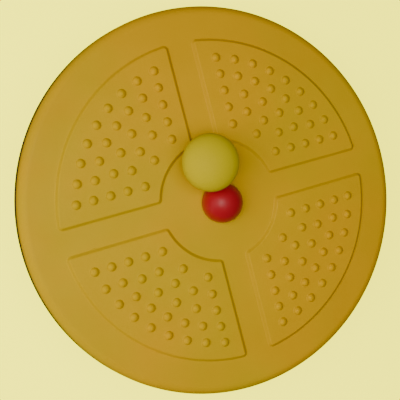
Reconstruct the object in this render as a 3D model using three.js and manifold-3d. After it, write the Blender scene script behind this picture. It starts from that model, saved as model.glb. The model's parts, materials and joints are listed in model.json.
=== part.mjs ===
// Balance board with a turning deck: a round textured deck on a bearing, carried by a
// universal joint on a flat base, with a capped hub and a still grip beside it.
// Millimetres, +Z up, origin on the floor under the centre.
import * as THREE from "three";
import { mergeVertices } from "three/addons/utils/BufferGeometryUtils.js";
import Module from "manifold-3d";

const wasm = await Module();
wasm.setup();

// Gap left between pieces that touch on the real object.
const GAP = 0.3;
const QUARTER = Math.PI / 2;
// How far a cutting tool or a joined piece reaches past the face it meets.
const OVER = 1;
const DECK_STEPS = 48;
const ROUND_STEPS = 16;
const SMALL_STEPS = 12;

// Levels above the floor.
const PIVOT_Z = 50;
const DECK_FACE_Z = 110;
const RIM_BOTTOM_Z = 72;

// Deck shell.
const DECK_R = 290;
const WALL_R = 288.4;
const FACE_R = 273;
const RIM_FILLET_R = 15;
const SHELL_T = 5;
const HUB_BOSS_R = 80;
const HUB_BOSS_Z = 99.7;
const HUB_HOLE_R = 24.5;
const HUB_RECESS = { r: 34.5, z: 106.5 };
const RIB_COUNT = 8;
const RIB_T = 3;
const RIB_START_R = 78;
const RIB_END_R = 281;
const RIB_BOTTOM_Z = 81;

// Raised pads, one to a quadrant, with the channels between them.
const PAD_R = 235;
const PAD_INNER_R = 89;
const PAD_H = 4;
const CHANNEL_HALF = 20;
const BUMP_R = 6.8;
const BUMP_TOP_R = 4.08;
const BUMP_H = 4.5;
const BUMP_RINGS = [9, 8, 6, 5, 3];
const BUMP_OUTER_R = 208.8;
const BUMP_RING_STEP = 23.7;
const BUMP_SIDE = 48;

// Underside cover and its screws, and the rubber edge's channel section.
const COVER = { inner: 58, outer: 281.2, z: 76, t: 3, collarT: 2.5, collarTop: 86 };
const SCREW_RING = { r: 262, count: 6, start: Math.PI / 12, boss: 6 };
const COVER_SCREW = { r: 1.7, length: 16, point: 1.2, head: 4.5, headH: 2.5, hole: 2.2 };
const COVER_PILOT = { r: 2, depth: 15 };
const TRIM = { floor: 2, outerLeg: 11, innerLeg: 7.5, innerT: 1.5, edge: 1 };

// Base.
const BASE_R = 180;
const FOOT = { r: 16, h: 4, ring: 150 };
const BASE_Z = FOOT.h + GAP;
const BASE_T = 8;
const BUFFER = { ring: 160, foot: 16, neck: 11, top: 46.4 };

// Universal joint.
const EAR = { inner: 34, t: 8, half: 14, bore: 10.3 };
const PIN = { r: 7, reach: 45, groove: 42.6, grooveEnd: 43.9, grooveR: 6 };
const CROSS_BLOCK = 30;
const PIVOT_CLIP = { overhang: 2.8, t: 0.8 };
// Half the angle left open in a retaining ring.
const CLIP_OPENING = 0.35;
const YOKE_FOOT = { x: 104, y: 64, t: 8 };
const YOKE_BOLT = { x: 44, y: 24, r: 3, head: 4.785, headH: 4 };
const YOKE_PLATE = { r: 50, z: 78, t: 6 };

// Spindle, bearing and hub.
const SPINDLE = { flange: 36, flangeTop: 88, shoulder: 18, journal: 15, thread: 10, top: 132 };
const SPINDLE_SCREW = { ring: 27, r: 2.5, hole: 2.8, head: 5, headHole: 5.9 };
const SPACER_R = 18;
const BEARING = { bore: 15.3, outer: 27.5, z: 92.3, t: 13, pitch: 21.3, ball: 3.5, balls: 7, faceGap: 2.1 };
const CAGE = { halfT: 0.9, halfH: 4.6 };
const BEARING_CLIP = { inner: 24.5, bite: 1.2, slot: 1.4, t: 0.9 };
const HOUSING = { barrel: 34, flange: 72, flangeZ: 94.4, flangeT: 5, z: 90.5, spigot: 24.2, spigotBore: 20.6,
  spigotTop: 109 };
const HUB_BOLT = { ring: 55, r: 3, head: 5.046, headH: 4, length: 13, depth: 7.8, count: 4 };

// Grip arm, hub cap and grip.
const GRIP_OFFSET = 59.5;
const GRIP_ANGLE = THREE.MathUtils.degToRad(12.9);
// The cap sits a little off the spindle, away from the grip.
const CAP_OFFSET = 4;
const ARM = { z: 112, t: 6, hub: 20, end: 15, half: 12 };
const FLATS = 8.5;
const CARRIER = { r: 27, z: 118.3, t: 2 };
const NUT = { z: 120.6, h: 10, across: 15, collar: 13.5, collarH: 2.2 };
const CAP = { r: 29.5, wall: 2, z: 111.5, springZ: 120.5, top: 145.5 };
const STUD = { r: 6, head: 10, headH: 4, top: 166, grooveDepth: 0.8, grooveH: 2.2 };
const STUD_NUT = { z: 118.3, h: 8, across: 9 };
const BUSH = { r: 9, z: 128, top: 165, lipZ: 160.2, lipH: 1.6 };
const KNOB = { r: 41, z: 127.5, lowerH: 30, equatorZ: 156, top: 182, bore: 9.3 };

const COLOURS = {
  deck: 0xba9430,
  knob: 0xb89a2e,
  cap: 0xb02a24,
  rubber: 0x1f1e1c,
  black: 0x2a2a2c,
  steel: 0x9a9b9e,
  zinc: 0xb4b6b8,
  nylon: 0xe4e0d4,
};

function material(colour, roughness, metalness = 0) {
  return new THREE.MeshStandardMaterial({ color: colour, roughness, metalness });
}

const MATERIALS = {
  deck: material(COLOURS.deck, 0.5),
  knob: material(COLOURS.knob, 0.25),
  cap: material(COLOURS.cap, 0.2),
  rubber: material(COLOURS.rubber, 0.8),
  black: material(COLOURS.black, 0.5),
  steel: material(COLOURS.steel, 0.35, 1),
  zinc: material(COLOURS.zinc, 0.3, 1),
  nylon: material(COLOURS.nylon, 0.5),
};

// ---- geometry helpers ----

// A body turned about +Z from [radius, height] pairs, given anticlockwise round its section.
function turned(profile, steps = ROUND_STEPS) {
  const points = profile.map(([r, z]) => new THREE.Vector2(r, z));
  if (profile[0][0] > 0) points.push(points[0].clone());
  return new THREE.LatheGeometry(points, steps).rotateX(QUARTER);
}

function ringProfile(inner, outer, low, high) {
  return [[inner, low], [outer, low], [outer, high], [inner, high]];
}

function ring(inner, outer, low, high, steps = ROUND_STEPS) {
  return turned(ringProfile(inner, outer, low, high), steps);
}

function disc(radius, low, high, steps = ROUND_STEPS) {
  return turned([[0, low], [radius, low], [radius, high], [0, high]], steps);
}

// Points on an ellipse arc in a section, from one angle to another.
function arc(centre, radii, from, to, steps) {
  return Array.from({ length: steps + 1 }, (_, i) => {
    const angle = from + ((to - from) * i) / steps;
    return [centre[0] + radii[0] * Math.cos(angle), centre[1] + radii[1] * Math.sin(angle)];
  });
}

function plate(shape, low, high, steps = 12) {
  const depth = high - low;
  return new THREE.ExtrudeGeometry(shape, { depth, bevelEnabled: false, curveSegments: steps })
    .translate(0, 0, low);
}

function block(x, y, low, high) {
  return new THREE.BoxGeometry(x, y, high - low).translate(0, 0, (low + high) / 2);
}

function solid(geometry) {
  const bare = geometry.clone();
  bare.deleteAttribute("normal");
  bare.deleteAttribute("uv");
  const merged = mergeVertices(bare, 1e-3);
  return new wasm.Manifold(new wasm.Mesh({
    numProp: 3,
    vertProperties: merged.attributes.position.array,
    triVerts: new Uint32Array(merged.index.array),
  }));
}

function geometryOf(body) {
  const mesh = body.getMesh();
  const geometry = new THREE.BufferGeometry();
  geometry.setAttribute("position", new THREE.BufferAttribute(mesh.vertProperties, 3));
  geometry.setIndex(new THREE.BufferAttribute(mesh.triVerts, 1));
  geometry.computeVertexNormals();
  return geometry;
}

function joined(...geometries) {
  return geometryOf(geometries.map(solid).reduce((all, one) => all.add(one)));
}

function cut(geometry, ...tools) {
  return geometryOf(tools.map(solid).reduce((rest, tool) => rest.subtract(tool), solid(geometry)));
}

function add(parent, name, geometry, finish, position = [0, 0, 0], turn = 0) {
  const mesh = new THREE.Mesh(geometry, finish);
  mesh.name = name;
  mesh.position.set(...position);
  mesh.rotation.z = turn;
  parent.add(mesh);
}

// Places on a circle, as [x, y, angle].
function onCircle(radius, count, start = 0) {
  return Array.from({ length: count }, (_, i) => {
    const angle = start + (2 * Math.PI * i) / count;
    return [radius * Math.cos(angle), radius * Math.sin(angle), angle];
  });
}

function corners(x, y) {
  return [[x, y], [-x, y], [-x, -y], [x, -y]];
}

function hexPrism(across, low, high) {
  const cylinder = new THREE.CylinderGeometry(across / Math.cos(Math.PI / 6), across / Math.cos(Math.PI / 6),
    high - low, 6);
  return cylinder.rotateX(QUARTER).translate(0, 0, (low + high) / 2);
}

// ---- deck ----

function deckSection() {
  const filletZ = DECK_FACE_Z - RIM_FILLET_R;
  const wallBottom = RIM_BOTTOM_Z + TRIM.floor + GAP;
  return [
    [HUB_RECESS.r, HUB_BOSS_Z],
    [HUB_BOSS_R, HUB_BOSS_Z],
    [HUB_BOSS_R, DECK_FACE_Z - SHELL_T],
    ...arc([FACE_R, filletZ], [RIM_FILLET_R - SHELL_T, RIM_FILLET_R - SHELL_T], QUARTER, 0, 2),
    [WALL_R - SHELL_T, wallBottom],
    [WALL_R, wallBottom],
    ...arc([FACE_R, filletZ], [RIM_FILLET_R, RIM_FILLET_R], 0, QUARTER, 4),
    [HUB_HOLE_R, DECK_FACE_Z],
    [HUB_HOLE_R, HUB_RECESS.z],
    [HUB_RECESS.r, HUB_RECESS.z],
  ];
}

function padShape() {
  const outer = Math.asin(CHANNEL_HALF / PAD_R);
  const inner = Math.asin(CHANNEL_HALF / PAD_INNER_R);
  const shape = new THREE.Shape();
  shape.absarc(0, 0, PAD_R, outer, QUARTER - outer, false);
  shape.absarc(0, 0, PAD_INNER_R, QUARTER - inner, inner, true);
  shape.closePath();
  return shape;
}

// The bumps of one quadrant: each ring spreads evenly between the same distance from both channels.
function bumpPlaces() {
  return BUMP_RINGS.flatMap((count, ringIndex) => {
    const radius = BUMP_OUTER_R - ringIndex * BUMP_RING_STEP;
    const first = Math.asin(BUMP_SIDE / radius);
    return Array.from({ length: count }, (_, i) => {
      const angle = first + ((QUARTER - 2 * first) * i) / (count - 1);
      return [radius * Math.cos(angle), radius * Math.sin(angle)];
    });
  });
}

function bump() {
  return turned([[0, -OVER], [BUMP_R, -OVER], [BUMP_R, 0], [BUMP_TOP_R, BUMP_H], [0, BUMP_H]], 6);
}

function deckTopShell() {
  const padTop = DECK_FACE_Z + PAD_H;
  const pad = solid(plate(padShape(), DECK_FACE_Z - 2 * OVER, padTop));
  const quadrant = bumpPlaces().reduce(
    (sum, [x, y]) => sum.add(solid(bump().translate(x, y, padTop))), pad);
  let shell = solid(turned(deckSection(), DECK_STEPS));
  for (let i = 0; i < 4; i += 1) shell = shell.add(quadrant.rotate([0, 0, 90 * i]));
  const ribTop = DECK_FACE_Z - SHELL_T + OVER / 2;
  const ribLength = RIB_END_R - RIB_START_R;
  const rib = block(ribLength, RIB_T, RIB_BOTTOM_Z, ribTop).translate(RIB_START_R + ribLength / 2, 0, 0);
  for (let i = 0; i < RIB_COUNT; i += 1) {
    shell = shell.add(solid(rib.clone().rotateZ((2 * Math.PI * i) / RIB_COUNT)));
  }
  const bossZ = COVER.z + COVER.t + GAP;
  for (const [x, y] of onCircle(SCREW_RING.r, SCREW_RING.count, SCREW_RING.start)) {
    const boss = disc(SCREW_RING.boss, bossZ, ribTop, SMALL_STEPS).translate(x, y, 0);
    const pilot = disc(COVER_PILOT.r, bossZ - OVER, bossZ + COVER_PILOT.depth, 8).translate(x, y, 0);
    shell = shell.add(solid(boss)).subtract(solid(pilot));
  }
  for (const [x, y] of onCircle(HUB_BOLT.ring, HUB_BOLT.count, QUARTER / 2)) {
    const hole = disc(HUB_BOLT.r + GAP, HUB_BOSS_Z - OVER, HUB_BOSS_Z + HUB_BOLT.depth, SMALL_STEPS);
    shell = shell.subtract(solid(hole.translate(x, y, 0)));
  }
  return geometryOf(shell);
}

function undersideCover() {
  const top = COVER.z + COVER.t;
  const section = [
    [COVER.inner, COVER.z],
    [COVER.outer, COVER.z],
    [COVER.outer, top],
    [COVER.inner + COVER.collarT, top],
    [COVER.inner + COVER.collarT, COVER.collarTop],
    [COVER.inner, COVER.collarTop],
  ];
  const holes = onCircle(SCREW_RING.r, SCREW_RING.count, SCREW_RING.start)
    .map(([x, y]) => disc(COVER_SCREW.hole, COVER.z - OVER, top + OVER, 8).translate(x, y, 0));
  return cut(turned(section, DECK_STEPS), ...holes);
}

function rimEdgeTrim() {
  const low = RIM_BOTTOM_Z;
  const slotOut = WALL_R + 0.4;
  const slotIn = WALL_R - SHELL_T - GAP;
  const inner = slotIn - TRIM.innerT;
  return turned([
    [inner + TRIM.edge, low],
    [DECK_R - TRIM.edge, low],
    [DECK_R, low + TRIM.edge],
    [DECK_R, low + TRIM.outerLeg],
    [slotOut, low + TRIM.outerLeg],
    [slotOut, low + TRIM.floor],
    [slotIn, low + TRIM.floor],
    [slotIn, low + TRIM.innerLeg],
    [inner, low + TRIM.innerLeg],
    [inner, low + TRIM.edge],
  ], DECK_STEPS);
}

function panScrew() {
  const { r, head, headH, length, point } = COVER_SCREW;
  const under = COVER.z - GAP;
  return turned([[0, under - headH], [head - 1.1, under - headH], [head, under - headH / 2], [head, under],
    [r, under], [r, under + length], [0, under + length + point]], SMALL_STEPS);
}

function hubHousing() {
  const bearingTop = BEARING.z + BEARING.t;
  const flangeTop = HOUSING.flangeZ + HOUSING.flangeT;
  const seat = BEARING.outer + GAP;
  const section = [
    [seat, HOUSING.z],
    [HOUSING.barrel, HOUSING.z],
    [HOUSING.barrel, HOUSING.flangeZ],
    [HOUSING.flange, HOUSING.flangeZ],
    [HOUSING.flange, flangeTop],
    [HOUSING.barrel, flangeTop],
    [HOUSING.barrel, HUB_RECESS.z - GAP],
    [HOUSING.spigot, HUB_RECESS.z - GAP],
    [HOUSING.spigot, HOUSING.spigotTop],
    [HOUSING.spigotBore, HOUSING.spigotTop],
    [HOUSING.spigotBore, bearingTop + GAP],
    [seat, bearingTop + GAP],
    [seat, BEARING.z],
    [seat + BEARING_CLIP.bite, BEARING.z],
    [seat + BEARING_CLIP.bite, BEARING.z - BEARING_CLIP.slot],
    [seat, BEARING.z - BEARING_CLIP.slot],
  ];
  const holes = onCircle(HUB_BOLT.ring, HUB_BOLT.count, QUARTER / 2)
    .map(([x, y]) => disc(HUB_BOLT.r + GAP, HOUSING.flangeZ - OVER, flangeTop + OVER, SMALL_STEPS)
      .translate(x, y, 0));
  return cut(turned(section, 24), ...holes);
}

function hubBolt() {
  const under = HOUSING.flangeZ - GAP;
  return joined(hexPrism(HUB_BOLT.head, under - HUB_BOLT.headH, under),
    disc(HUB_BOLT.r, under - OVER, under + HUB_BOLT.length, SMALL_STEPS));
}

// Half of a bearing race's section, with its ball groove, on the side of the ball circle that sign gives.
function race(sign) {
  const { bore, outer, z, t, pitch, ball, faceGap } = BEARING;
  const wall = sign < 0 ? bore : outer;
  const face = pitch + sign * faceGap;
  const middle = z + t / 2;
  const groove = ball + 2 * GAP;
  const half = Math.acos(faceGap / groove);
  const curve = sign < 0
    ? arc([pitch, middle], [groove, groove], Math.PI + half, Math.PI - half, 3)
    : arc([pitch, middle], [groove, groove], half, -half, 3);
  const section = sign < 0
    ? [[wall, z], [face, z], ...curve, [face, z + t], [wall, z + t]]
    : [[face, z], [wall, z], [wall, z + t], [face, z + t], ...curve];
  return turned(section);
}

function ballCage() {
  const middle = BEARING.z + BEARING.t / 2;
  const cage = ring(BEARING.pitch - CAGE.halfT, BEARING.pitch + CAGE.halfT,
    middle - CAGE.halfH, middle + CAGE.halfH);
  const balls = onCircle(BEARING.pitch, BEARING.balls)
    .map(([x, y]) => new THREE.SphereGeometry(BEARING.ball, 6, 4).translate(x, y, middle));
  return joined(cage, ...balls);
}

// An open retaining ring lying flat at z = 0.
function circlip(inner, outer, t) {
  const start = CLIP_OPENING;
  const shape = new THREE.Shape();
  shape.absarc(0, 0, outer, start, 2 * Math.PI - start, false);
  shape.absarc(0, 0, inner, 2 * Math.PI - start, start, true);
  shape.closePath();
  return plate(shape, 0, t, 6);
}

// ---- base ----

function basePlate() {
  const top = BASE_Z + BASE_T;
  const body = turned([[0, BASE_Z], [BASE_R - 4, BASE_Z], [BASE_R, BASE_Z + 3], [BASE_R, top - 1.5],
    [BASE_R - 1.5, top], [0, top]], 36);
  const holes = corners(YOKE_BOLT.x, YOKE_BOLT.y)
    .map(([x, y]) => disc(YOKE_BOLT.r + GAP, BASE_Z - OVER, top + OVER, SMALL_STEPS).translate(x, y, 0));
  return cut(body, ...holes);
}

function baseFoot() {
  return turned([[0, 0], [FOOT.r - 1, 0], [FOOT.r, 1], [FOOT.r, FOOT.h], [0, FOOT.h]], SMALL_STEPS);
}

function stopBuffer() {
  const low = BASE_Z + BASE_T + GAP;
  return turned([[0, low], [BUFFER.foot, low], [BUFFER.foot, low + 4], [BUFFER.neck + 1, low + 8],
    [BUFFER.neck, BUFFER.top - 4], [BUFFER.neck - 3, BUFFER.top - 1], [4, BUFFER.top], [0, BUFFER.top]],
  SMALL_STEPS);
}

// ---- universal joint ----

// One ear of a yoke: its bore is on the local X axis, and its straight part runs along local +Z.
function ear(length) {
  const shape = new THREE.Shape();
  shape.moveTo(EAR.half, length);
  shape.lineTo(-EAR.half, length);
  shape.absarc(0, 0, EAR.half, Math.PI, 2 * Math.PI, false);
  shape.closePath();
  const bore = new THREE.Path();
  bore.absarc(0, 0, EAR.bore, 0, 2 * Math.PI, true);
  shape.holes.push(bore);
  return plate(shape, EAR.inner, EAR.inner + EAR.t, 10).rotateZ(QUARTER).rotateY(QUARTER);
}

function lowerYoke() {
  const foot = BASE_Z + BASE_T + GAP;
  const footTop = foot + YOKE_FOOT.t;
  const upright = ear(PIVOT_Z - footTop + OVER).rotateX(Math.PI).translate(0, 0, PIVOT_Z);
  const body = joined(block(YOKE_FOOT.x, YOKE_FOOT.y, foot, footTop), upright,
    upright.clone().rotateZ(Math.PI));
  const holes = corners(YOKE_BOLT.x, YOKE_BOLT.y)
    .map(([x, y]) => disc(YOKE_BOLT.r + GAP, foot - OVER, footTop + OVER, SMALL_STEPS).translate(x, y, 0));
  return cut(body, ...holes);
}

function yokeBolt() {
  const under = BASE_Z + BASE_T + GAP + YOKE_FOOT.t + GAP;
  return joined(hexPrism(YOKE_BOLT.head, under, under + YOKE_BOLT.headH),
    disc(YOKE_BOLT.r, BASE_Z + OVER, under + OVER, SMALL_STEPS));
}

function crossSpider() {
  const { r, reach, groove, grooveEnd, grooveR } = PIN;
  const half = [[r, groove], [grooveR, groove], [grooveR, grooveEnd], [r, grooveEnd], [r, reach - 0.6],
    [r - 0.8, reach], [0, reach]];
  const mirrored = half.map(([radius, z]) => [radius, -z]).reverse();
  const pin = turned([...mirrored, ...half], SMALL_STEPS);
  const core = new THREE.BoxGeometry(CROSS_BLOCK, CROSS_BLOCK, CROSS_BLOCK);
  return joined(core, pin.clone().rotateY(QUARTER), pin.clone().rotateX(QUARTER));
}

function pivotBush() {
  const end = EAR.inner + EAR.t + GAP;
  return ring(PIN.r + GAP, EAR.bore - GAP, EAR.inner - 0.4, end, SMALL_STEPS).rotateY(QUARTER);
}

function upperYoke() {
  const top = YOKE_PLATE.z + YOKE_PLATE.t;
  const hanger = ear(YOKE_PLATE.z - PIVOT_Z + OVER).rotateZ(QUARTER).translate(0, 0, PIVOT_Z);
  const body = joined(disc(YOKE_PLATE.r, YOKE_PLATE.z, top, 24), hanger, hanger.clone().rotateZ(Math.PI));
  const holes = onCircle(SPINDLE_SCREW.ring, 4, QUARTER / 2)
    .map(([x, y]) => disc(SPINDLE_SCREW.hole, YOKE_PLATE.z - OVER, top + OVER, 10).translate(x, y, 0));
  return cut(body, ...holes);
}

// ---- spindle, arm and cap ----

function spindle() {
  const low = YOKE_PLATE.z + YOKE_PLATE.t + GAP;
  const seatTop = BEARING.z + BEARING.t - 0.1;
  const body = turned([[0, low], [SPINDLE.flange, low], [SPINDLE.flange, SPINDLE.flangeTop],
    [SPINDLE.shoulder, SPINDLE.flangeTop], [SPINDLE.shoulder, BEARING.z - GAP],
    [SPINDLE.journal, BEARING.z - GAP], [SPINDLE.journal, seatTop], [SPINDLE.thread, seatTop],
    [SPINDLE.thread, SPINDLE.top - 1], [SPINDLE.thread - 1, SPINDLE.top], [0, SPINDLE.top]]);
  const { ring: screwRing, hole, headHole } = SPINDLE_SCREW;
  const screwHoles = onCircle(screwRing, 4, QUARTER / 2).map(([x, y]) => turned(
    [[0, low - OVER], [hole, low - OVER], [hole, SPINDLE.flangeTop - 2.6],
      [headHole, SPINDLE.flangeTop + 0.5], [0, SPINDLE.flangeTop + 0.5]], SMALL_STEPS).translate(x, y, 0));
  const width = 8;
  const flat = block(width, 30, ARM.z - GAP, ARM.z + ARM.t + GAP);
  return cut(body, ...screwHoles,
    flat.clone().translate(FLATS + width / 2, 0, 0).rotateZ(GRIP_ANGLE),
    flat.clone().translate(-FLATS - width / 2, 0, 0).rotateZ(GRIP_ANGLE));
}

function countersunkScrew() {
  const { r, head } = SPINDLE_SCREW;
  const low = YOKE_PLATE.z + 0.5;
  const top = SPINDLE.flangeTop - 0.2;
  return turned([[0, low], [r, low], [r, top - head + r], [head, top], [0, top]], SMALL_STEPS);
}

function gripArm() {
  const leave = Math.asin(ARM.half / ARM.hub);
  const enter = Math.asin(ARM.half / ARM.end);
  const shape = new THREE.Shape();
  shape.absarc(0, 0, ARM.hub, QUARTER + leave, QUARTER - leave + 2 * Math.PI, false);
  shape.absarc(0, GRIP_OFFSET, ARM.end, -QUARTER + enter, Math.PI + QUARTER - enter, false);
  shape.closePath();
  const body = plate(shape, ARM.z, ARM.z + ARM.t, 10);
  const low = ARM.z - OVER;
  const high = ARM.z + ARM.t + OVER;
  const flatted = solid(disc(SPINDLE.thread + GAP, low, high))
    .intersect(solid(block(2 * (FLATS + GAP), 40, low, high)));
  const seat = turned([[0, low], [STUD.head + 2.3, low], [STUD.r + 0.5, ARM.z + STUD.headH + 0.4],
    [STUD.r + 0.5, high], [0, high]], SMALL_STEPS).translate(0, GRIP_OFFSET, 0);
  return geometryOf(solid(body).subtract(flatted).subtract(solid(seat)));
}

function lockNut() {
  const hexTop = NUT.z + NUT.h;
  const top = hexTop + NUT.collarH;
  return cut(joined(hexPrism(NUT.across, NUT.z, hexTop), disc(NUT.collar, hexTop - OVER, top)),
    disc(SPINDLE.thread + GAP, NUT.z - OVER, top + OVER));
}

function hubCap() {
  const inner = CAP.r - CAP.wall;
  const section = [
    ...arc([0, CAP.springZ], [inner, CAP.top - CAP.springZ - CAP.wall], QUARTER, 0, 4),
    [inner, CAP.z],
    [CAP.r, CAP.z],
    ...arc([0, CAP.springZ], [CAP.r, CAP.top - CAP.springZ], 0, QUARTER, 6),
  ].map(([r, z]) => [Math.abs(r) < 1e-9 ? 0 : r, z]);
  const notch = block(2 * (ARM.half + 0.5), CAP.r, CAP.z - OVER, ARM.z + ARM.t + 0.8);
  return cut(turned(section, 24), notch.translate(0, CAP.r / 2 + 10, 0));
}

// The cap snaps over this plate, which the lock nut clamps; its hole is off centre by the cap's offset.
function carrierPlate() {
  const body = disc(CARRIER.r, CARRIER.z, CARRIER.z + CARRIER.t).translate(0, -CAP_OFFSET, 0);
  return cut(body, disc(SPINDLE.thread + GAP, CARRIER.z - OVER, CARRIER.z + CARRIER.t + OVER));
}

function gripStud() {
  const { r, head, headH, top, grooveDepth, grooveH } = STUD;
  const low = ARM.z + 0.4;
  const grooveTop = BUSH.lipZ + grooveH;
  return turned([[0, low], [head, low], [r, ARM.z + headH], [r, BUSH.lipZ], [r - grooveDepth, BUSH.lipZ],
    [r - grooveDepth, grooveTop], [r, grooveTop], [r, top - 1], [r - 1, top], [0, top]], SMALL_STEPS);
}

function studNut() {
  const top = STUD_NUT.z + STUD_NUT.h;
  return cut(hexPrism(STUD_NUT.across, STUD_NUT.z, top),
    disc(STUD.r + GAP, STUD_NUT.z - OVER, top + OVER, SMALL_STEPS));
}

// A snap-in sleeve: the lip inside it runs in the groove near the top of the stud.
function gripBush() {
  const bore = STUD.r + GAP;
  const lip = STUD.r - 0.5;
  const lipLow = BUSH.lipZ + 0.3;
  return turned([[bore, BUSH.z], [BUSH.r, BUSH.z], [BUSH.r, BUSH.top], [bore, BUSH.top],
    [bore, lipLow + BUSH.lipH], [lip, lipLow + BUSH.lipH], [lip, lipLow], [bore, lipLow]], SMALL_STEPS);
}

function gripKnob() {
  const boreTop = STUD.top + 0.6;
  const crown = KNOB.top - KNOB.equatorZ;
  const cutAngle = -Math.asin((KNOB.equatorZ - KNOB.z) / KNOB.lowerH);
  return turned([
    [0, boreTop],
    [KNOB.bore, boreTop],
    [KNOB.bore, KNOB.z],
    ...arc([0, KNOB.equatorZ], [KNOB.r, KNOB.lowerH], cutAngle, 0, 6).slice(0, -1),
    ...arc([0, KNOB.equatorZ], [KNOB.r, crown], 0, QUARTER, 6).slice(0, -1),
    [0, KNOB.top],
  ], 28);
}

// ---- assembly ----

const board = new THREE.Group();

function addBase() {
  const group = new THREE.Group();
  add(group, "base_plate", basePlate(), MATERIALS.black);
  onCircle(FOOT.ring, 4, QUARTER / 2).forEach(([x, y], i) => {
    add(group, `base_foot_${i + 1}`, baseFoot(), MATERIALS.rubber, [x, y, 0]);
  });
  onCircle(BUFFER.ring, 4).forEach(([x, y], i) => {
    add(group, `stop_buffer_${i + 1}`, stopBuffer(), MATERIALS.rubber, [x, y, 0]);
  });
  add(group, "lower_yoke", lowerYoke(), MATERIALS.black);
  corners(YOKE_BOLT.x, YOKE_BOLT.y).forEach(([x, y], i) => {
    add(group, `lower_yoke_bolt_${i + 1}`, yokeBolt(), MATERIALS.zinc, [x, y, 0]);
  });
  [0, Math.PI].forEach((turn, i) => {
    add(group, `lower_pivot_bush_${i + 1}`, pivotBush(), MATERIALS.rubber, [0, 0, PIVOT_Z], turn);
  });
  board.add(group);
}

function addCross() {
  const group = new THREE.Group();
  group.position.z = PIVOT_Z;
  add(group, "cross_spider", crossSpider(), MATERIALS.steel);
  for (let i = 0; i < 4; i += 1) {
    const clip = circlip(PIN.grooveR + GAP, PIN.r + PIVOT_CLIP.overhang, PIVOT_CLIP.t).rotateY(QUARTER);
    clip.translate(PIN.groove + 0.25, 0, 0);
    add(group, `pivot_circlip_${i + 1}`, clip, MATERIALS.steel, [0, 0, 0], i * QUARTER);
  }
  board.add(group);
}

function addCarriage() {
  const group = new THREE.Group();
  add(group, "upper_yoke", upperYoke(), MATERIALS.black);
  [QUARTER, 3 * QUARTER].forEach((turn, i) => {
    add(group, `upper_pivot_bush_${i + 1}`, pivotBush(), MATERIALS.rubber, [0, 0, PIVOT_Z], turn);
  });
  add(group, "spindle", spindle(), MATERIALS.steel);
  onCircle(SPINDLE_SCREW.ring, 4, QUARTER / 2).forEach(([x, y], i) => {
    add(group, `spindle_screw_${i + 1}`, countersunkScrew(), MATERIALS.zinc, [x, y, 0]);
  });
  add(group, "bearing_inner_race", race(-1), MATERIALS.steel);
  const spacerLow = BEARING.z + BEARING.t + GAP;
  add(group, "spacer_sleeve", ring(SPINDLE.thread + GAP, SPACER_R, spacerLow, ARM.z - GAP), MATERIALS.zinc);
  add(group, "spindle_lock_nut", lockNut(), MATERIALS.zinc);
  board.add(group);
}

// The arm, cap and grip share a group whose +Y points from the hub to the grip.
function addGripSide() {
  const group = new THREE.Group();
  group.rotation.z = GRIP_ANGLE;
  add(group, "grip_arm", gripArm(), MATERIALS.steel);
  add(group, "cap_carrier_plate", carrierPlate(), MATERIALS.zinc);
  add(group, "hub_cap", hubCap(), MATERIALS.cap, [0, -CAP_OFFSET, 0]);
  const grip = new THREE.Group();
  grip.position.y = GRIP_OFFSET;
  add(grip, "grip_stud", gripStud(), MATERIALS.steel);
  add(grip, "grip_stud_nut", studNut(), MATERIALS.zinc);
  add(grip, "grip_bush", gripBush(), MATERIALS.nylon);
  add(grip, "grip_knob", gripKnob(), MATERIALS.knob);
  group.add(grip);
  board.add(group);
}

function addDeck() {
  const group = new THREE.Group();
  add(group, "deck_top_shell", deckTopShell(), MATERIALS.deck);
  add(group, "deck_underside_cover", undersideCover(), MATERIALS.black);
  onCircle(SCREW_RING.r, SCREW_RING.count, SCREW_RING.start).forEach(([x, y], i) => {
    add(group, `cover_screw_${i + 1}`, panScrew(), MATERIALS.zinc, [x, y, 0]);
  });
  add(group, "rim_edge_trim", rimEdgeTrim(), MATERIALS.rubber);
  add(group, "hub_housing", hubHousing(), MATERIALS.steel);
  onCircle(HUB_BOLT.ring, HUB_BOLT.count, QUARTER / 2).forEach(([x, y], i) => {
    add(group, `hub_bolt_${i + 1}`, hubBolt(), MATERIALS.zinc, [x, y, 0]);
  });
  add(group, "bearing_outer_race", race(1), MATERIALS.steel);
  add(group, "bearing_ball_cage", ballCage(), MATERIALS.steel);
  const clip = circlip(BEARING_CLIP.inner, BEARING.outer + BEARING_CLIP.bite, BEARING_CLIP.t);
  add(group, "bearing_circlip", clip, MATERIALS.steel, [0, 0, BEARING.z - BEARING_CLIP.bite]);
  const sealLow = HUB_RECESS.z - 0.4;
  const seal = ring(SPACER_R + 2 * GAP, HOUSING.spigotBore - GAP, sealLow, HOUSING.spigotTop);
  add(group, "spindle_seal", seal, MATERIALS.rubber);
  board.add(group);
}

addBase();
addCross();
addCarriage();
addGripSide();
addDeck();

export default board;
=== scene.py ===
# Balance board with a turning deck: the finished surfaces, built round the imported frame.
# Lengths are in metres.
import json
from math import asin, atan2, cos, pi, radians, sin, sqrt

import bmesh
import bpy
from mathutils import Matrix, Vector
from mathutils.geometry import tessellate_polygon

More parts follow.
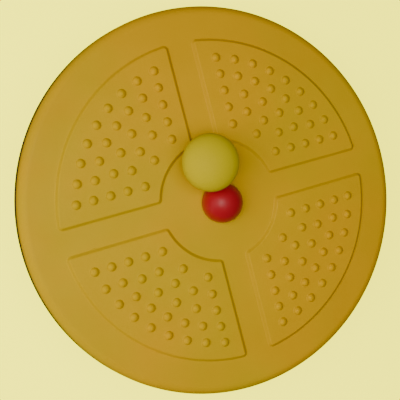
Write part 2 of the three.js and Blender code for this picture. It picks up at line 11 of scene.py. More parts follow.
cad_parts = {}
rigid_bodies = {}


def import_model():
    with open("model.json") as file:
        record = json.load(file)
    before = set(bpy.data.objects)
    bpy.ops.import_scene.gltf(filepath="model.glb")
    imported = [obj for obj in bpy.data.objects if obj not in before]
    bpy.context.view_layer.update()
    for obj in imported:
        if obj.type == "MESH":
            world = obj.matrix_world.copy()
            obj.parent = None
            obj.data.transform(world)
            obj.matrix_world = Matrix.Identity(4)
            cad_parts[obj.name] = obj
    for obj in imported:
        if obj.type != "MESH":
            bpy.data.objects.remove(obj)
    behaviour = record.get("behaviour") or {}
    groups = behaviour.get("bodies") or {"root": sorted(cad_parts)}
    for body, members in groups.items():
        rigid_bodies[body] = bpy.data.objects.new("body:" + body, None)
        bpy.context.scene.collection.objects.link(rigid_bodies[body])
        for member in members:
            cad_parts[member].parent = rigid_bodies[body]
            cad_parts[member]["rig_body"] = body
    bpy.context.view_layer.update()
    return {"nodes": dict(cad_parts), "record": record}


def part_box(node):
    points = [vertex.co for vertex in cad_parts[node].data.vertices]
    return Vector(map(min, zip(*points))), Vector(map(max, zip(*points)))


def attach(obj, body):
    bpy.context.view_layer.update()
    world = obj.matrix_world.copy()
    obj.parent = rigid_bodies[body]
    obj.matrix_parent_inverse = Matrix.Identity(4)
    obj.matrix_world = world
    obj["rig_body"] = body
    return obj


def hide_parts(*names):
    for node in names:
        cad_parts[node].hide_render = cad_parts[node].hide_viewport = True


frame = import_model()

MM = 0.001
TURN = 2 * pi

# Places read from the frame.
SHELL_LOW, SHELL_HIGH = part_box("deck_top_shell")
TRIM_LOW, TRIM_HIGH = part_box("rim_edge_trim")
CAP_LOW, CAP_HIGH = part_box("hub_cap")
KNOB_LOW, KNOB_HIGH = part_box("grip_knob")
KNOB_CENTRE = (KNOB_LOW + KNOB_HIGH) / 2
COVER_LOW, COVER_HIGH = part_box("deck_underside_cover")
BASE_LOW, BASE_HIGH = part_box("base_plate")

# Deck surface.
BUMP_H = 4.5 * MM
PAD_H = 4.0 * MM
PAD_TOP = SHELL_HIGH.z - BUMP_H
FACE_Z = PAD_TOP - PAD_H
WALL_R = SHELL_HIGH.x
FACE_R = 273 * MM
RIM_FILLET = 15 * MM
SHELL_T = 5 * MM
PAD_R = 235 * MM
PAD_INNER_R = 89 * MM
PAD_CORNER = 5 * MM
PAD_STEP = 5.2 * MM
CHANNEL_HALF = 20 * MM
# Width of the flat strip kept beside an edge, so that smooth shading doesn't run across it.
GUARD = 0.6 * MM
BUMP_RINGS = (9, 8, 6, 5, 3)
BUMP_OUTER_R = 208.8 * MM
BUMP_RING_STEP = 23.7 * MM
BUMP_SIDE = 48 * MM
BUMP_R = 6.4 * MM
BUMP_SLOPE = radians(62)
HUB_HOLE_R = 24.5 * MM
HUB_BOSS_R = 80 * MM
HUB_BOSS_Z = 99.7 * MM
HUB_RECESS_R = 34.6 * MM
HUB_RECESS_Z = 106.5 * MM

# How many points go round the deck and round a bump.
AROUND = 288
BUMP_AROUND = 20

# A section's point nearer to the axis than this lies on it.
AXIS_R = 1e-7


# ---- mesh helpers ----

class Sheet:
    """Collects loops of points and the faces between them, then becomes one object."""

    def __init__(self):
        self.points = []
        self.faces = []

    def loop(self, points):
        first = len(self.points)
        self.points.extend(points)
        return list(range(first, len(self.points)))

    def bridge(self, a, b):
        count = len(a)
        for i in range(count):
            j = (i + 1) % count
            self.faces.append((a[i], a[j], b[j], b[i]))

    def chain(self, loops):
        for a, b in zip(loops, loops[1:]):
            self.bridge(a, b)

    def fan(self, loop, apex):
        centre = self.loop([apex])[0]
        for i, index in enumerate(loop):
            self.faces.append((index, loop[(i + 1) % len(loop)], centre))

    def fill(self, *loops):
        flat = [index for loop in loops for index in loop]
        rings = [[Vector(self.points[i]) for i in loop] for loop in loops]
        for triangle in tessellate_polygon(rings):
            self.faces.append(tuple(flat[i] for i in triangle))

    def finish(self, name, sharp=radians(40)):
        mesh = bpy.data.meshes.new(name)
        mesh.from_pydata([tuple(p) for p in self.points], [], self.faces)
        return finished(mesh, name, sharp)


def finished(mesh, name, sharp=radians(40)):
    """One clean object from a mesh: doubles merged, faces outwards, smooth except at sharp edges."""
    work = bmesh.new()
    work.from_mesh(mesh)
    bmesh.ops.remove_doubles(work, verts=work.verts, dist=1e-6)
    bmesh.ops.dissolve_degenerate(work, edges=work.edges, dist=1e-7)
    bmesh.ops.recalc_face_normals(work, faces=work.faces)
    for face in work.faces:
        face.smooth = True
    for edge in work.edges:
        edge.smooth = len(edge.link_faces) != 2 or edge.calc_face_angle(0) < sharp
    work.to_mesh(mesh)
    work.free()
    piece = bpy.data.objects.new(name, mesh)
    bpy.context.scene.collection.objects.link(piece)
    return piece


def circle(radius, z, count, centre=(0, 0)):
    return [(centre[0] + radius * cos(TURN * i / count), centre[1] + radius * sin(TURN * i / count), z)
            for i in range(count)]


def arc(centre, radius, start, end, steps):
    """Points [r, z] on an arc of a section; radius is one number, or one along r and one along z."""
    across, up = radius if isinstance(radius, tuple) else (radius, radius)
    angles = [start + (end - start) * i / steps for i in range(steps + 1)]
    return [(centre[0] + across * cos(a), centre[1] + up * sin(a)) for a in angles]


def turned(name, section, count, centre=(0, 0), sharp=radians(40)):
    """A body of revolution from [r, z] points; ends on the axis are closed by a fan, others by each other."""
    sheet = Sheet()
    rings = [p for p in section if p[0] > AXIS_R]
    loops = [sheet.loop(circle(r, z, count, centre)) for r, z in rings]
    sheet.chain(loops)
    if section[0][0] <= AXIS_R:
        sheet.fan(loops[0], (centre[0], centre[1], section[0][1]))
        sheet.fan(loops[-1], (centre[0], centre[1], section[-1][1]))
    else:
        sheet.bridge(loops[-1], loops[0])
    return sheet.finish(name, sharp)


def applied(piece, kind, **settings):
    """Adds a modifier, keeps its result as the piece's mesh and returns the piece."""
    modifier = piece.modifiers.new(kind.lower(), kind)
    for key, value in settings.items():
        setattr(modifier, key, value)
    graph = bpy.context.evaluated_depsgraph_get()
    mesh = bpy.data.meshes.new_from_object(piece.evaluated_get(graph))
    piece.modifiers.clear()
    piece.data = mesh
    return piece


def carved(piece, *tools):
    """Cuts each tool out of the piece."""
    for tool in tools:
        applied(piece, "BOOLEAN", object=tool, operation="DIFFERENCE", solver="EXACT")
        bpy.data.objects.remove(tool)
    mesh = piece.data
    name = piece.name
    bpy.data.objects.remove(piece)
    return finished(mesh, name)


def box_piece(low, high, turn=0.0):
    """A plain box, used only as a cutting tool."""
    sheet = Sheet()
    corners = [(x, y, z) for z in (low[2], high[2]) for x, y in
               ((low[0], low[1]), (high[0], low[1]), (high[0], high[1]), (low[0], high[1]))]
    points = sheet.loop(Matrix.Rotation(turn, 3, "Z") @ Vector(c) for c in corners)
    sheet.bridge(points[:4], points[4:])
    sheet.faces.append(tuple(reversed(points[:4])))
    sheet.faces.append(tuple(points[4:]))
    return sheet.finish("cutter")


def place(piece, body, slot, material, *nodes):
    """Gives a finished piece its material and its body and hides the CAD nodes that it stands for; slot is
    not used.
    """
    piece.data.materials.clear()
    piece.data.materials.append(material)
    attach(piece, body)
    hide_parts(*nodes)
    return piece


# ---- materials ----

class Nodes:
    """Short calls for building one material's node tree."""

    def __init__(self, name):
        self.material = bpy.data.materials.new(name)
        self.material.use_nodes = True
        self.tree = self.material.node_tree
        self.shader = self.tree.nodes["Principled BSDF"]
        self.where = self.add("ShaderNodeTexCoord").outputs["Object"]

    def add(self, kind, **values):
        node = self.tree.nodes.new(kind)
        for key, value in values.items():
            if key in node.inputs:
                node.inputs[key].default_value = value
            else:
                setattr(node, key, value)
        return node

    def link(self, start, end):
        self.tree.links.new(start, end)

    def noise(self, scale, detail=2.0, stretch=None):
        where = self.where
        if stretch:
            mapping = self.add("ShaderNodeMapping")
            mapping.inputs["Scale"].default_value = stretch
            self.link(where, mapping.inputs["Vector"])
            where = mapping.outputs["Vector"]
        node = self.add("ShaderNodeTexNoise", Scale=scale, Detail=detail)
        self.link(where, node.inputs["Vector"])
        return node.outputs["Fac"]

    def ramp(self, source, *stops):
        node = self.add("ShaderNodeValToRGB")
        ramp = node.color_ramp
        while len(ramp.elements) < len(stops):
            ramp.elements.new(0.5)
        for element, (position, colour) in zip(ramp.elements, stops):
            element.position = position
            element.color = (*colour, 1) if isinstance(colour, tuple) else (colour, colour, colour, 1)
        self.link(source, node.inputs["Fac"])
        return node.outputs["Color"]

    def mix(self, factor, a, b, blend="MIX"):
        node = self.add("ShaderNodeMix", data_type="RGBA", blend_type=blend)
        for value, socket in ((factor, node.inputs[0]), (a, node.inputs[6]), (b, node.inputs[7])):
            if isinstance(value, bpy.types.NodeSocket):
                self.link(value, socket)
            else:
                socket.default_value = (*value, 1) if isinstance(value, tuple) else value
        return node.outputs[2]

    def level(self, low, high):
        """0 where the surface is at height low, 1 where it is at height high."""
        parts = self.add("ShaderNodeSeparateXYZ")
        self.link(self.where, parts.inputs[0])
        node = self.add("ShaderNodeMapRange")
        node.inputs["From Min"].default_value = low
        node.inputs["From Max"].default_value = high
        self.link(parts.outputs["Z"], node.inputs["Value"])
        return node.outputs["Result"]

    def bump(self, height, strength, distance, after=None):
        node = self.add("ShaderNodeBump", Strength=strength, Distance=distance)
        self.link(height, node.inputs["Height"])
        if after is not None:
            self.link(after, node.inputs["Normal"])
        return node.outputs["Normal"]

    def set(self, **values):
        for key, value in values.items():
            socket = self.shader.inputs[key.replace("_", " ")]
            if isinstance(value, bpy.types.NodeSocket):
                self.link(value, socket)
            elif isinstance(value, tuple):
                socket.default_value = (*value, 1)[:len(socket.default_value)]
            else:
                socket.default_value = value
        return self.material


def scaled(colour, factor):
    return tuple(channel * factor for channel in colour)


def moulded_plastic(name, colour, rough, gloss, grain=0.12, mottle=0.06, painted_shade=None):
    """Injection-moulded plastic: slow flow mottling, fine grain, handling marks in the gloss.

    The last argument, if given, lists (height, shade) pairs of painted shade: the colour is darkened at those
    heights."""
    n = Nodes(name)
    cool = (colour[0] * (1 - mottle), colour[1], colour[2])
    warm = (colour[0], colour[1] * (1 - mottle), colour[2])
    hue = n.ramp(n.noise(5, 3), (0.38, cool), (0.62, warm))
    flow = n.mix(1.0, hue, n.ramp(n.noise(9, 5), (0.3, 1 - mottle), (0.7, 1.0)), "MULTIPLY")
    specks = n.ramp(n.noise(900, 1), (0.35, 0.94), (0.65, 1.0))
    tint = n.mix(1.0, flow, specks, "MULTIPLY")
    # Painted shade: the colour is darkened by height, standing in for shade on steps and low edges.
    if painted_shade:
        low, high = painted_shade[0][0], painted_shade[-1][0]
        stops = [((height - low) / (high - low), shade) for height, shade in painted_shade]
        tint = n.mix(1.0, tint, n.ramp(n.level(low, high), *stops), "MULTIPLY")
    smudge = n.ramp(n.noise(22, 5), (0.35, rough * 0.82), (0.7, rough * 1.2))
    fine = n.bump(n.noise(1400, 2), grain, 0.0002)
    worn = n.bump(n.noise(60, 3), grain * 0.5, 0.0004, fine)
    return n.set(Base_Color=tint, Roughness=smudge, Normal=worn, Specular_IOR_Level=gloss, IOR=1.49)


def black_rubber(name):
    """Matt moulded rubber, a little grey where it is worn."""
    n = Nodes(name)
    tint = n.ramp(n.noise(40, 4), (0.3, (0.014, 0.013, 0.012)), (0.75, (0.032, 0.030, 0.027)))
    rough = n.ramp(n.noise(18, 3), (0.3, 0.62), (0.7, 0.85))
    skin = n.bump(n.noise(1100, 3), 0.25, 0.0002)
    return n.set(Base_Color=tint, Roughness=rough, Normal=skin, IOR=1.5)


def powder_coat(name, colour):
    """Baked powder paint: orange-peel skin with a few dull scuffs."""
    n = Nodes(name)
    peel = n.noise(520, 2)
    scuff = n.ramp(n.noise(30, 6, (1, 3, 1)), (0.62, 0.0), (0.72, 0.4))
    tint = n.mix(scuff, colour, scaled(colour, 2.6))
    rough = n.ramp(n.noise(90, 3), (0.3, 0.38), (0.7, 0.55))
    return n.set(Base_Color=tint, Roughness=rough, Normal=n.bump(peel, 0.3, 0.0003), IOR=1.5)


def steel(name, colour, rough, lines=(1, 1, 60)):
    """Machined steel: fine tool lines, slightly uneven colour and polish."""
    n = Nodes(name)
    grain = n.noise(260, 3, lines)
    tint = n.ramp(n.noise(35, 4), (0.3, scaled(colour, 0.86)), (0.7, scaled(colour, 1.08)))
    polish = n.ramp(grain, (0.3, rough * 0.8), (0.7, rough * 1.3))
    return n.set(Base_Color=tint, Metallic=1.0, Roughness=polish, Normal=n.bump(grain, 0.15, 0.0001))


def natural_nylon(name):
    """Undyed nylon, slightly translucent."""
    n = Nodes(name)
    tint = n.ramp(n.noise(30, 3), (0.3, (0.62, 0.58, 0.47)), (0.7, (0.74, 0.70, 0.60)))
    rough = n.ramp(n.noise(80, 2), (0.3, 0.4), (0.7, 0.55))
    return n.set(Base_Color=tint, Roughness=rough, Normal=n.bump(n.noise(900, 2), 0.1, 0.0002),
                 Subsurface_Weight=0.1, Subsurface_Radius=(0.002, 0.0015, 0.001))


def floor_paper(name):
    """Pale yellow background paper that glows enough to look evenly lit."""
    n = Nodes(name)
    tint = n.ramp(n.noise(3, 2), (0.3, (0.80, 0.78, 0.01)), (0.7, (0.82, 0.78, 0.01)))
    return n.set(Base_Color=tint, Roughness=0.9, Specular_IOR_Level=0.05, Emission_Color=(1.0, 0.97, 0.0),
                 Emission_Strength=2.6)


# Painted shade on the deck plastic, set by height: the colour darkens low on the rolled rim, on the pad steps
# and at the feet of the bumps, where shade falls.
DECK_PAINTED_SHADE = (
    (FACE_Z - 16 * MM, 0.60),
    (FACE_Z - 11 * MM, 0.92),
    (FACE_Z - 8 * MM, 1.0),
    (FACE_Z + 0.1 * MM, 1.0),
    (FACE_Z + 0.9 * MM, 0.88),
    (PAD_TOP - 1.2 * MM, 0.86),
    (PAD_TOP - 0.1 * MM, 1.0),
    (PAD_TOP + 0.05 * MM, 1.0),
    (PAD_TOP + 0.5 * MM, 0.84),
    (PAD_TOP + 2.5 * MM, 1.0),
)

MATERIALS = {
    # The deck plastic carries the painted shade table above, which darkens its steps and rim.
    "deck_plastic": moulded_plastic("mustard_plastic", (0.625, 0.37, 0.0), 0.42, 0.10,
                                    mottle=0.08, painted_shade=DECK_PAINTED_SHADE),
    "knob_yellow": moulded_plastic("olive_yellow_plastic", (0.53, 0.42, 0.0), 0.42, 0.06, 0.05, 0.04),
    "cap_red": moulded_plastic("red_plastic", (0.37, 0.006, 0.014), 0.36, 0.42, 0.04, 0.05),
    "cover_plastic": moulded_plastic("black_plastic", (0.022, 0.022, 0.023), 0.5, 0.4, 0.3, 0.15),
    "rubber": black_rubber("black_rubber"),
    "black_paint": powder_coat("black_powder_coat", (0.05, 0.05, 0.053)),
    "bright_steel": steel("turned_steel", (0.46, 0.45, 0.44), 0.3),
    "zinc_plate": steel("zinc_plate", (0.56, 0.58, 0.62), 0.28, (1, 1, 1)),
    "nylon": natural_nylon("natural_nylon"),
}


# ---- deck ----

def pad_outline(offset, corner_steps=6, arc_steps=44, line_steps=16):
    """The outline of the first quadrant's pad, moved out by offset, with as many points at any offset."""
    side = CHANNEL_HALF + PAD_CORNER
    far = sqrt((PAD_R - PAD_CORNER) ** 2 - side ** 2)
    near = sqrt((PAD_INNER_R + PAD_CORNER) ** 2 - side ** 2)
    outer = atan2(side, far)
    inner = atan2(side, near)
    radius = PAD_CORNER + offset

    def swing(centre, r, start, end, steps):
        return [(centre[0] + r * cos(start + (end - start) * i / steps),
                 centre[1] + r * sin(start + (end - start) * i / steps)) for i in range(steps + 1)]

    def between(a, b):
        return [(a[0] + (b[0] - a[0]) * i / line_steps, a[1] + (b[1] - a[1]) * i / line_steps)
                for i in range(1, line_steps)]

    far_y = swing((side, far), radius, pi / 2 - outer, pi, corner_steps)
    near_y = swing((side, near), radius, pi, 3 * pi / 2 - inner, corner_steps)
    near_x = swing((near, side), radius, pi + inner, 3 * pi / 2, corner_steps)
    far_x = swing((far, side), radius, -pi / 2, outer, corner_steps)
    rim = swing((0, 0), PAD_R + offset, outer, pi / 2 - outer, arc_steps)
    throat = swing((0, 0), PAD_INNER_R - offset, pi / 2 - inner, inner, arc_steps)
    return (rim[:-1] + far_y + between(far_y[-1], near_y[0]) + near_y[:-1] + throat[:-1]
            + near_x + between(near_x[-1], far_x[0]) + far_x[:-1])


def bump_places():
    """Bump centres of the first quadrant: every ring starts and ends the same distance from the channels."""
    places = []
    for ring, count in enumerate(BUMP_RINGS):
        radius = BUMP_OUTER_R - ring * BUMP_RING_STEP
        first = asin(BUMP_SIDE / radius)
        for i in range(count):
            angle = first + (pi / 2 - 2 * first) * i / (count - 1)
            places.append((radius * cos(angle), radius * sin(angle)))
    return places


def bump_section():
    """A dome's section from its foot to near its top, as [r, height]: a fillet, then part of a sphere."""
    ball = (BUMP_R ** 2 + BUMP_H ** 2) / (2 * BUMP_H)
    edge = ball * sin(BUMP_SLOPE)
    rise = BUMP_H - ball * (1 - cos(BUMP_SLOPE))
    fillet = rise / (1 - cos(BUMP_SLOPE))
    foot = edge + fillet * sin(BUMP_SLOPE)
    fillet_steps, dome_steps = 3, 6
    section = [(foot + GUARD, 0.0)]
    for i in range(fillet_steps + 1):
        slope = BUMP_SLOPE * i / fillet_steps
        section.append((foot - fillet * sin(slope), fillet * (1 - cos(slope))))
    for i in range(1, dome_steps):
        slope = BUMP_SLOPE * (1 - i / dome_steps)
        section.append((ball * sin(slope), BUMP_H - ball * (1 - cos(slope))))
    return section


def eased(t):
    """From 0 to 1 in a straight slope with a short round start and finish."""
    short = 0.18
    if t < short:
        return t * t / (2 * short * (1 - short))
    if t > 1 - short:
        return 1 - eased(1 - t)
    return (t - short / 2) / (1 - short)


def add_pad(sheet, quarter):
    """One pad with its step and bumps; returns the loop where it leaves the deck face."""
    spin = Matrix.Rotation(quarter * pi / 2, 3, "Z")
    steps = 8
    levels = [(PAD_STEP / 2 + GUARD, 0.0)]
    levels += [(PAD_STEP * (0.5 - i / steps), PAD_H * eased(i / steps)) for i in range(steps + 1)]
    levels.append((-PAD_STEP / 2 - GUARD, PAD_H))
    loops = []
    for offset, height in levels:
        loops.append(sheet.loop(spin @ Vector((x, y, FACE_Z + height)) for x, y in pad_outline(offset)))
    sheet.chain(loops)
    feet = []
    for x, y in bump_places():
        centre = spin @ Vector((x, y, 0))
        rings = [sheet.loop(circle(r, PAD_TOP + z, BUMP_AROUND, centre)) for r, z in bump_section()]
        sheet.chain(rings)
        sheet.fan(rings[-1], (centre.x, centre.y, PAD_TOP + BUMP_H))
        feet.append(rings[0])
    sheet.fill(loops[-1], *feet)
    return loops[0]


def make_deck():
    """The deck moulding, one closed skin: face, pads, bumps, rolled rim, wall, inner ceiling and hub boss."""
    sheet = Sheet()
    wall_low = SHELL_LOW.z
    fillet_z = FACE_Z - RIM_FILLET
    lip = 1.2 * MM
    section = [(FACE_R - 2 * GUARD, FACE_Z)]
    section += arc((FACE_R, fillet_z), RIM_FILLET, pi / 2, 0, 16)
    section += arc((WALL_R - lip, wall_low + lip), lip, 0, -pi / 2, 3)
    section += arc((WALL_R - SHELL_T + lip, wall_low + lip), lip, -pi / 2, -pi, 3)
    section += arc((FACE_R, fillet_z), RIM_FILLET - SHELL_T, 0, pi / 2, 6)
    section += [(HUB_BOSS_R + 3 * MM, FACE_Z - SHELL_T), (HUB_BOSS_R, FACE_Z - SHELL_T - 2 * MM),
                (HUB_BOSS_R, HUB_BOSS_Z), (HUB_RECESS_R, HUB_BOSS_Z), (HUB_RECESS_R, HUB_RECESS_Z),
                (HUB_HOLE_R, HUB_RECESS_Z), (HUB_HOLE_R, FACE_Z - GUARD), (HUB_HOLE_R + GUARD, FACE_Z),
                (HUB_HOLE_R + 2 * GUARD, FACE_Z)]
    loops = [sheet.loop(circle(r, z, AROUND)) for r, z in section]
    sheet.chain(loops)
    pads = [add_pad(sheet, quarter) for quarter in range(4)]
    sheet.fill(loops[0], loops[-1], *pads)
    piece = sheet.finish("deck_moulding", radians(50))
    return place(piece, "deck", "deck_plastic", MATERIALS["deck_plastic"], "deck_top_shell")


def make_trim():
    """The rubber edge: a channel that grips the lower lip of the wall."""
    low, top, outer = TRIM_LOW.z, TRIM_HIGH.z, TRIM_HIGH.x
    leg_out, leg_in = WALL_R + 0.35 * MM, WALL_R - SHELL_T - 0.3 * MM
    inner = leg_in - 1.5 * MM
    floor, inner_top = low + 2 * MM, low + 7.5 * MM
    soft = 0.7 * MM
    section = arc((outer - 2 * soft, low + 2 * soft), 2 * soft, -pi / 2, 0, 5)
    section += arc((outer - soft, top - soft), soft, 0, pi / 2, 4)
    section += [(leg_out, top), (leg_out, floor), (leg_in, floor)]
    section += arc((leg_in - soft, inner_top - soft), soft, 0, pi, 5)
    section += arc((inner + soft, low + soft), soft, pi, 3 * pi / 2, 3)
    piece = turned("rim_edge_rubber", section, AROUND)
    return place(piece, "deck", "rubber", MATERIALS["rubber"], "rim_edge_trim")


def make_cover():
    """The underside cover: a flat ring with a turned-up collar and shallow stiffening grooves."""
    low, flat_top, collar_top = COVER_LOW.z, COVER_LOW.z + 3 * MM, COVER_HIGH.z
    inner, outer = 58 * MM, COVER_HIGH.x
    collar = inner + 2.5 * MM
    edge = 0.8 * MM
    depth, half, slope = 0.9 * MM, 2 * MM, 1 * MM
    section = arc((inner + edge, low + edge), edge, pi, 3 * pi / 2, 3)
    for radius in (90 * MM, 200 * MM, 240 * MM):
        section += [(radius - half - slope, low), (radius - half, low + depth),
                    (radius + half, low + depth), (radius + half + slope, low)]
    section += arc((outer - edge, low + edge), edge, -pi / 2, 0, 3)
    section += [(outer, flat_top), (collar, flat_top), (collar, collar_top), (inner, collar_top)]
    piece = turned("underside_cover", section, 192, sharp=radians(30))
    return place(piece, "deck", "cover_plastic", MATERIALS["cover_plastic"], "deck_underside_cover")


# ---- hub and grip ----

def make_cap():
    """The hub cap: a glossy dome on a short skirt, a little off the hub centre, notched for the grip arm."""
    radius = (CAP_HIGH.x - CAP_LOW.x) / 2
    centre = Vector(((CAP_HIGH.x + CAP_LOW.x) / 2, (CAP_HIGH.y + CAP_LOW.y) / 2, 0))
    spring_z, top = CAP_LOW.z + 9 * MM, CAP_HIGH.z
    wall, edge = 2 * MM, 0.6 * MM
    inner = radius - wall
    dome = arc((0, spring_z), (radius, top - spring_z), 0, pi / 2, 16)[:-1] + [(0, top)]
    hollow = [(0, top - wall)] + arc((0, spring_z), (inner, top - spring_z - wall), pi / 2, 0, 10)[1:]
    foot = [(inner, CAP_LOW.z)] + arc((radius - edge, CAP_LOW.z + edge), edge, -pi / 2, 0, 3)
    piece = turned("hub_dome", hollow + foot + dome, 72)
    half, start, rise = 12.6 * MM, 10 * MM, 7.3 * MM
    angle = atan2(-KNOB_CENTRE.x, KNOB_CENTRE.y)
    notch = box_piece((-half, start, CAP_LOW.z - MM), (half, 2 * radius, CAP_LOW.z + rise), angle)
    piece = carved(piece, notch)
    piece.data.transform(Matrix.Translation(centre))
    return place(piece, "carriage", "cap_red", MATERIALS["cap_red"], "hub_cap")


def make_knob():
    """The grip: a ball with a slightly flattened crown, cut flat underneath round the bore for the stud."""
    radius = (KNOB_HIGH.x - KNOB_LOW.x) / 2
    crown, belly = 26 * MM, 30 * MM
    equator = KNOB_HIGH.z - crown
    low = KNOB_LOW.z
    bore, bore_top = 9.3 * MM, KNOB_HIGH.z - 15.4 * MM
    edge, bore_edge = 1.5 * MM, 0.6 * MM
    fullness = 2.15
    cut_angle = -asin((equator - low - edge) / belly)
    foot = radius * cos(cut_angle) - edge
    section = [(0, bore_top), (bore, bore_top), (bore, low + bore_edge), (bore + bore_edge, low)]
    section += arc((foot, low + edge), edge, -pi / 2, 0, 4)[:-1]
    section += arc((0, equator), (radius, belly), cut_angle, 0, 14)[:-1]
    steps = 24
    for i in range(steps):
        a = pi / 2 * i / steps
        section.append((radius * cos(a) ** (2 / fullness), equator + crown * sin(a) ** (2 / fullness)))
    section.append((0, KNOB_HIGH.z))
    piece = turned("grip_head", section, 96, (KNOB_CENTRE.x, KNOB_CENTRE.y))
    return place(piece, "grip", "knob_yellow", MATERIALS["knob_yellow"], "grip_knob")


# ---- base ----

def make_base():
    """The base disc, chamfered below and rounded above."""
    low, top, radius = BASE_LOW.z, BASE_HIGH.z, BASE_HIGH.x
    edge = 2.5 * MM
    section = [(0, low), (radius - 4 * MM, low), (radius - 0.4 * MM, low + 2.4 * MM)]
    section += arc((radius - edge, top - edge), edge, 0, pi / 2, 6)
    section += [(0, top)]
    piece = turned("base_disc", section, 192)
    return place(piece, "base", "black_paint", MATERIALS["black_paint"], "base_plate")


def make_foot(node):
    """A rubber foot with raised rings on its sole."""
    low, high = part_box(node)
    centre = ((low.x + high.x) / 2, (low.y + high.y) / 2)
    radius = (high.y - low.y) / 2
    sole = 0.8 * MM
    section = [(0, sole)]
    for ring in (4 * MM, 8 * MM, 12 * MM):
        section += [(ring - MM, sole), (ring - 0.5 * MM, 0), (ring + 1.5 * MM, 0), (ring + 2 * MM, sole)]
    section += [(radius - 1.5 * MM, sole), (radius - MM, 0.2 * MM)]
    section += arc((radius - MM, 1.2 * MM), MM, -pi / 2, 0, 4)
    section += [(radius, high.z), (0, high.z)]
    piece = turned(node.replace("base_foot", "rubber_foot"), section, 48, centre, radians(30))
    return place(piece, "base", "rubber", MATERIALS["rubber"], node)


def make_buffer(node):
    """A rubber stop buffer: a round neck on a wider foot."""
    low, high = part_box(node)
    centre = ((low.x + high.x) / 2, (low.y + high.y) / 2)
    foot = (high.y - low.y) / 2
    neck = 11 * MM
    foot_edge, crown_edge = 1.2 * MM, 6 * MM
    section = [(0, low.z), (foot - 0.5 * MM, low.z)]
    section += arc((foot - foot_edge, low.z + 2.8 * MM), foot_edge, 0, pi / 2, 4)
    section += [(neck + 1.6 * MM, low.z + 4.6 * MM), (neck + 0.9 * MM, low.z + 6 * MM)]
    section += arc((neck - crown_edge, high.z - crown_edge), crown_edge, 0, pi / 2, 8)
    section += [(0, high.z)]
    piece = turned(node.replace("stop_buffer", "rubber_buffer"), section, 48, centre)
    return place(piece, "base", "rubber", MATERIALS["rubber"], node)


def make_cover_screw(node):
    """A pan head screw with a cross recess, seen from under the deck."""
    low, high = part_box(node)
    centre = Vector(((low.x + high.x) / 2, (low.y + high.y) / 2, 0))
    name = node.replace("cover_screw", "pan_screw")
    head_top = low.z + 2.5 * MM
    head, shank = 4.5 * MM, 1.7 * MM
    across, up = 2.4 * MM, 2.2 * MM
    section = [(0, low.z)] + arc((head - across, low.z + up), (across, up), -pi / 2, 0, 6)
    section += [(head, head_top), (shank, head_top), (shank, high.z - 1.2 * MM), (0, high.z)]
    piece = turned(name, section, 32)
    arm, half, depth = 2.3 * MM, 0.45 * MM, 1.3 * MM
    for turn in (0, pi / 2):
        piece = carved(piece, box_piece((-arm, -half, low.z - MM), (arm, half, low.z + depth), turn))
    piece.name = name
    piece.data.transform(Matrix.Translation(centre))
    return place(piece, "deck", "zinc_plate", MATERIALS["zinc_plate"], node)


def softened(node, name, width):
    """A copy of a CAD node's shape with its edges rounded over, standing for that node."""
    source = frame["nodes"][node]
    slot = next(p["material_slot"] for p in frame["record"]["subparts"] if p["node"] == node)
    mesh = source.data.copy()
    work = bmesh.new()
    work.from_mesh(mesh)
    bmesh.ops.remove_doubles(work, verts=work.verts, dist=1e-6)
    bmesh.ops.dissolve_limit(work, angle_limit=radians(0.5), verts=work.verts, edges=work.edges)
    work.to_mesh(mesh)
    work.free()
    piece = bpy.data.objects.new(name, mesh)
    bpy.context.scene.collection.objects.link(piece)
    applied(piece, "BEVEL", width=width, segments=2, limit_method="ANGLE", angle_limit=radians(35))
    mesh = piece.data
    bpy.data.objects.remove(piece)
    piece = finished(mesh, name, radians(50))
    return place(piece, source["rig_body"], slot, MATERIALS[slot], node)


def dress_remaining():
    """Every CAD node that still shows takes the material of its slot."""
    for part in frame["record"]["subparts"]:
        node = frame["nodes"][part["node"]]
        if not node.hide_render:
            node.data.materials.clear()
            node.data.materials.append(MATERIALS[part["material_slot"]])


# ---- stage, light and camera ----

def make_floor():
    """A pale floor that curves up into a round backdrop and throws no light on the object."""
    flat, sweep, height = 4.0, 2.0, 3.5
    low = -0.3 * MM
    section = [(flat - 0.02, low)]
    section += arc((flat, low + sweep), sweep, -pi / 2, 0, 16)
    section.append((flat + sweep, height))
    sheet = Sheet()
    loops = [sheet.loop(circle(r, z, 96)) for r, z in section]
    sheet.chain(loops)
    sheet.fan(loops[0], (0, 0, low))
    floor = sheet.finish("floor")
    floor.data.materials.append(floor_paper("pale_floor"))
    floor.visible_diffuse = False
    floor.visible_glossy = False


def add_softbox(name, tilt, azimuth, distance, size, power, glossy):
    """A rectangular softbox that faces the middle of the deck from the given direction."""
    centre = Vector((0, 0, FACE_Z))
    away = Vector((sin(tilt) * cos(azimuth), sin(tilt) * sin(azimuth), cos(tilt)))
    data = bpy.data.lights.new(name, "AREA")
    data.shape = "RECTANGLE"
    data.size, data.size_y = size
    data.energy = power
    data.color = (1.0, 0.97, 0.88)
    lamp = bpy.data.objects.new(name, data)
    lamp.location = centre + distance * away
    lamp.rotation_euler = away.to_track_quat("Z", "Y").to_euler()
    lamp.visible_glossy = glossy
    lamp.visible_camera = False
    bpy.context.scene.collection.objects.link(lamp)


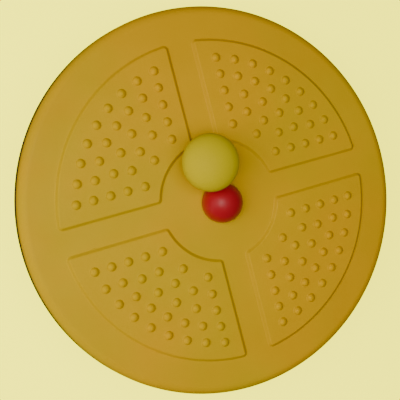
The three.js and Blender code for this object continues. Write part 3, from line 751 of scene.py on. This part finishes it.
def make_light():
    world = bpy.data.worlds.new("studio")
    bpy.context.scene.world = world
    world.use_nodes = True
    background = world.node_tree.nodes["Background"]
    background.inputs["Color"].default_value = (1.0, 0.96, 0.84, 1)
    background.inputs["Strength"].default_value = 0.09
    add_softbox("key", radians(45), radians(169), 2.0, (1.5, 1.5), 28.5, glossy=False)
    add_softbox("fill", radians(4), radians(230), 0.75, (0.4, 0.4), 2.0, glossy=False)
    add_softbox("sheen", radians(17), radians(167), 2.2, (1.0, 0.8), 13, glossy=True)
    add_softbox("low", radians(84), radians(190), 1.6, (1.0, 0.25), 4.5, glossy=False)


def make_camera():
    """The camera looks down on the deck from a little to the left, turned about its own axis."""
    tilt, azimuth, roll = radians(16.7), radians(164.6), radians(-14.6)
    distance, aim_right, aim_up = 0.951, 0.0303, -0.0002
    aim = Vector((0, 0, FACE_Z + 6 * MM))
    back = Vector((sin(tilt) * cos(azimuth), sin(tilt) * sin(azimuth), cos(tilt)))
    side = Vector((0, 1, 0)).cross(back).normalized()
    over = back.cross(side)
    right = cos(roll) * side + sin(roll) * over
    up = cos(roll) * over - sin(roll) * side
    spot = aim + distance * back - aim_right * right - aim_up * up
    data = bpy.data.cameras.new("camera")
    data.sensor_width = 36
    data.lens = 58.5
    camera = bpy.data.objects.new("camera", data)
    axes = Matrix((right, up, back)).transposed()
    camera.matrix_world = Matrix.Translation(spot) @ axes.to_4x4()
    bpy.context.scene.collection.objects.link(camera)
    bpy.context.scene.camera = camera


make_camera()
make_light()
make_floor()
make_deck()
make_trim()
make_cover()
make_cap()
make_knob()
make_base()
for number in range(1, 5):
    make_foot(f"base_foot_{number}")
    make_buffer(f"stop_buffer_{number}")
for number in range(1, 7):
    make_cover_screw(f"cover_screw_{number}")
softened("lower_yoke", "lower_yoke_casting", 1.0 * MM)
softened("upper_yoke", "upper_yoke_casting", 1.0 * MM)
softened("cross_spider", "pivot_cross_forging", 0.6 * MM)
softened("grip_arm", "grip_arm_bar", 0.7 * MM)
softened("grip_stud_nut", "grip_lock_nut", 0.6 * MM)
for number in range(1, 5):
    softened(f"lower_yoke_bolt_{number}", f"base_bolt_{number}", 0.5 * MM)
dress_remaining()
